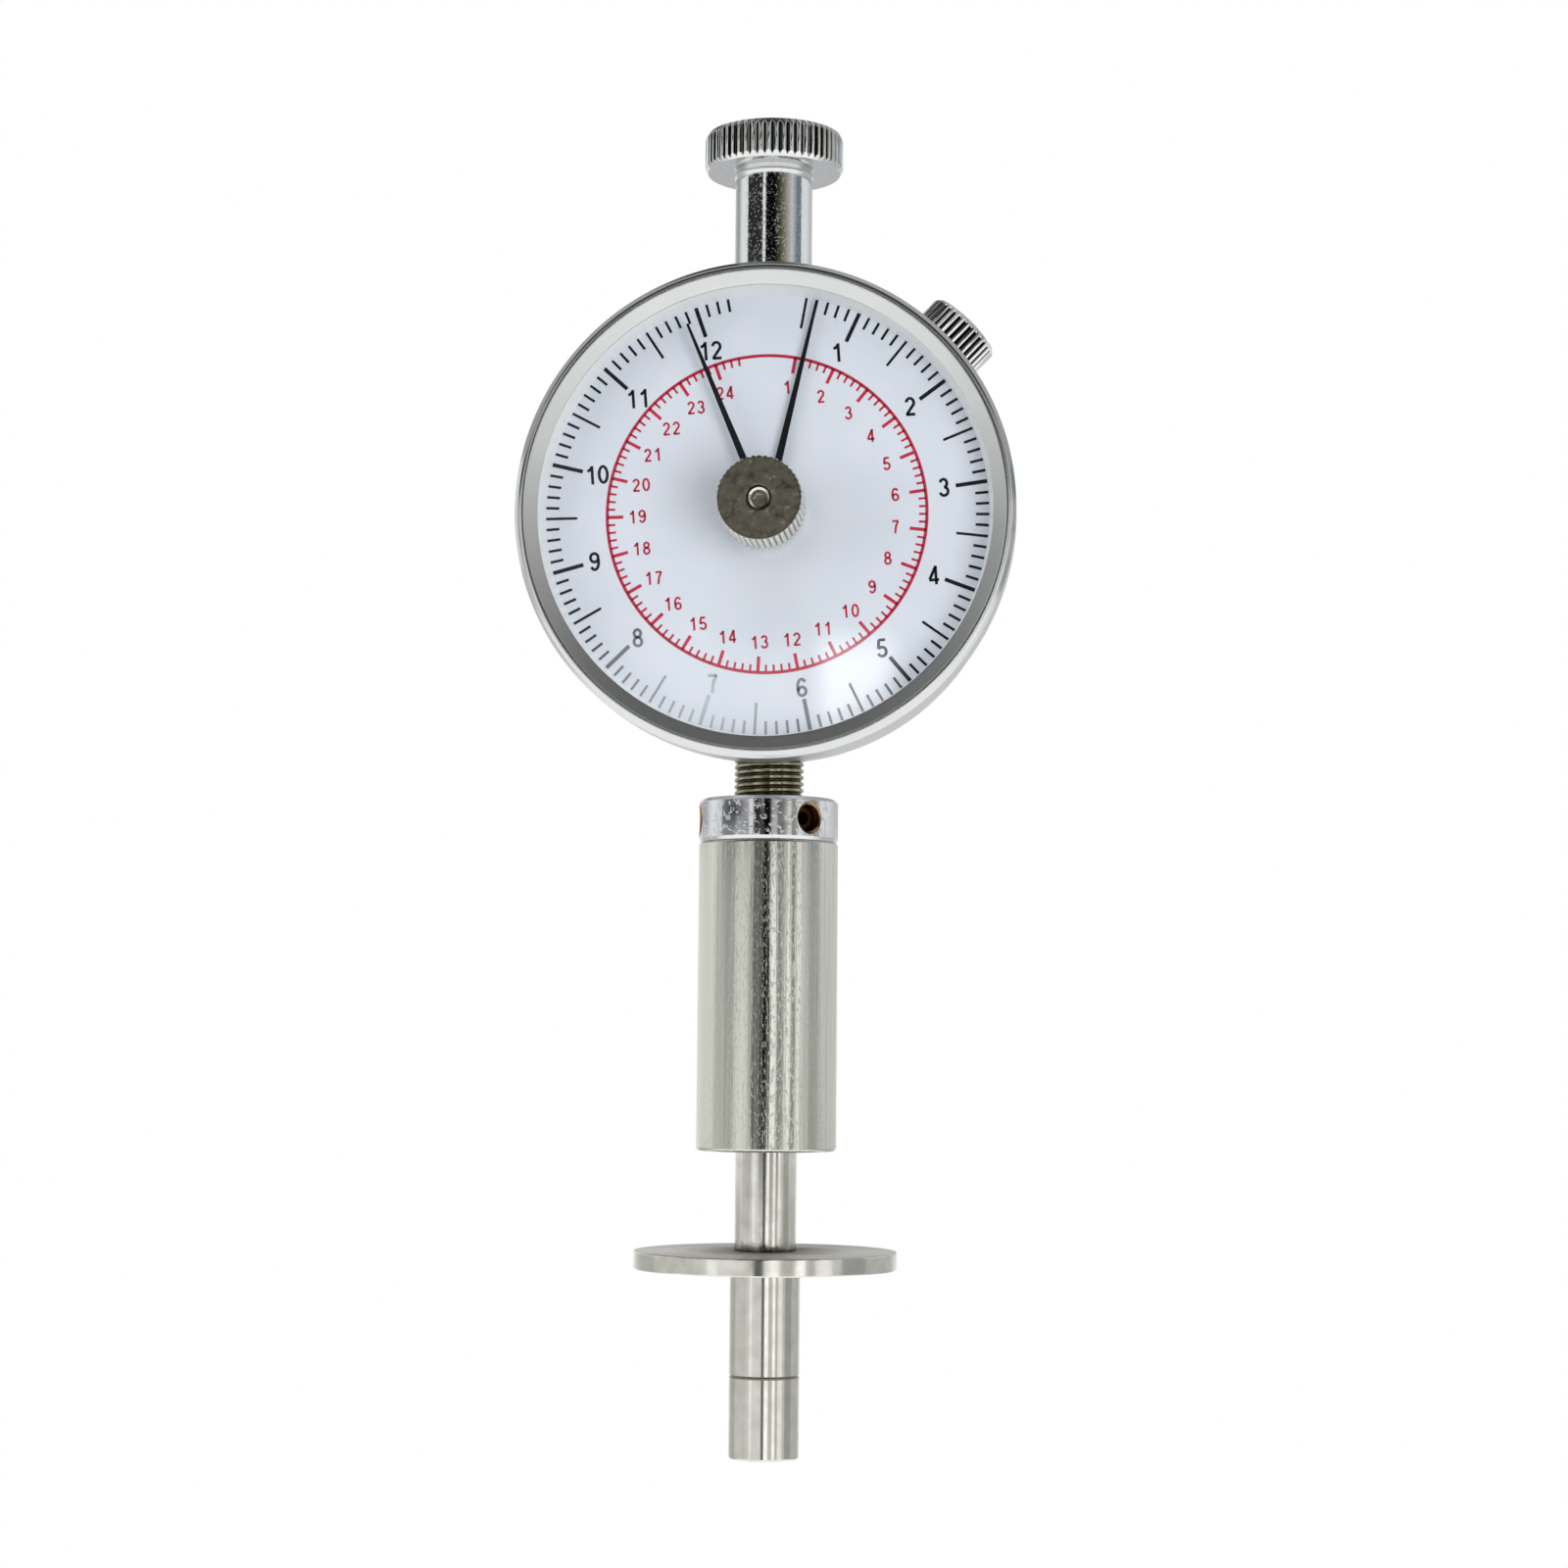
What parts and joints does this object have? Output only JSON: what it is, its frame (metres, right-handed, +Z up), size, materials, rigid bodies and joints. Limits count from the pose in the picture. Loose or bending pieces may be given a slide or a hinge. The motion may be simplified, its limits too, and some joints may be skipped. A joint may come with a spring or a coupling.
{
  "type": "fruit hardness tester",
  "caption": "Hand-held dial penetrometer: a sprung rod with a flat head turns a pointer over a round dial through a rack and pinion, and a knob on the crystal sets the peak pointer back.",
  "frame": {"origin": "centre of the flat face that is pressed into the fruit", "axes": "+Z up along the spindle, -Y out of the dial, +X to the right of the dial"},
  "size_m": [0.057, 0.0314, 0.1529],
  "materials": {
    "stainless_steel": "turned and polished, satin",
    "satin_nickel": "nickel plate, drawn lengthwise",
    "bright_chrome": "bright plate",
    "dark_nickel": "dull nickel on a cut thread",
    "satin_silver": "satin silver",
    "clear_acrylic": "clear, polished",
    "dial_white": "printed white enamel",
    "pointer_black": "satin black",
    "brass": "machined",
    "screw_steel": "plain steel",
    "spring_steel": "oil tempered"
  },
  "bodies": {
    "case": {"sleeve_bush": "brass", "spring_sleeve": "satin_nickel", "spring_seat": "screw_steel", "main_spring": "spring_steel", "threaded_neck": "dark_nickel", "neck_bush": "brass", "lock_ring": "bright_chrome", "lock_ring_screws": "screw_steel", "top_stem": "bright_chrome", "stem_bush": "brass", "top_knob": "bright_chrome", "case_body": "satin_silver", "back_cover": "satin_silver", "back_cover_screws": "screw_steel", "movement_plate": "brass", "movement_screws": "screw_steel", "arbour_cock": "brass", "cock_pillars": "brass", "cock_screws": "screw_steel", "arbour_bushes": "brass", "guide_fork": "brass", "fork_screws": "screw_steel", "bezel_wire": "spring_steel", "clamp_claw": "stainless_steel"},
    "spindle": {"pressing_head": "stainless_steel", "splash_disc": "stainless_steel", "plunger": "stainless_steel", "spindle_rod": "stainless_steel", "guide_pin": "stainless_steel", "rack": "brass", "rack_screws": "screw_steel"},
    "pointer_arbour": {"pinion_arbour": "brass", "pointer_hub": "brass", "drive_pointer": "pointer_black"},
    "dial_head": {"bezel": "satin_silver", "crystal": "clear_acrylic", "dial_ring": "satin_silver", "dial_plate": "dial_white", "dial_carrier": "satin_silver", "crystal_bush": "brass"},
    "reset": {"reset_knob": "bright_chrome", "reset_shaft": "stainless_steel", "knob_screw": "screw_steel", "friction_washer": "spring_steel", "peak_pointer": "pointer_black"},
    "clamp_nut": {"clamp_knob": "bright_chrome"}
  },
  "joints": [
    {"name": "spindle_slide", "type": "slide", "parent": "case", "child": "spindle", "axis": [0, 0, 1], "range_m": [0, 0.0102], "stiffness_N_per_m": 10700, "springref_m": -0.00047, "deforming": ["main_spring"]},
    {"name": "pointer_turn", "type": "hinge", "parent": "case", "child": "pointer_arbour", "pos_m": [0, 0, 0.107], "axis": [0, 1, 0], "range_deg": [0, 334]},
    {"name": "dial_turn", "type": "hinge", "parent": "case", "child": "dial_head", "pos_m": [0, 0, 0.107], "axis": [0, 1, 0], "continuous": true},
    {"name": "reset_turn", "type": "hinge", "parent": "dial_head", "child": "reset", "pos_m": [0, 0, 0.107], "axis": [0, 1, 0], "range_deg": [-316, 27]},
    {"name": "clamp_turn", "type": "hinge", "parent": "case", "child": "clamp_nut", "pos_m": [0, 0.001, 0.107], "axis": [-0.6947, 0, -0.7193], "range_deg": [0, 180]}
  ],
  "couplings": [
    {"joint": "pointer_turn", "follows": "spindle_slide", "rad_per_m": 571.43}
  ]
}
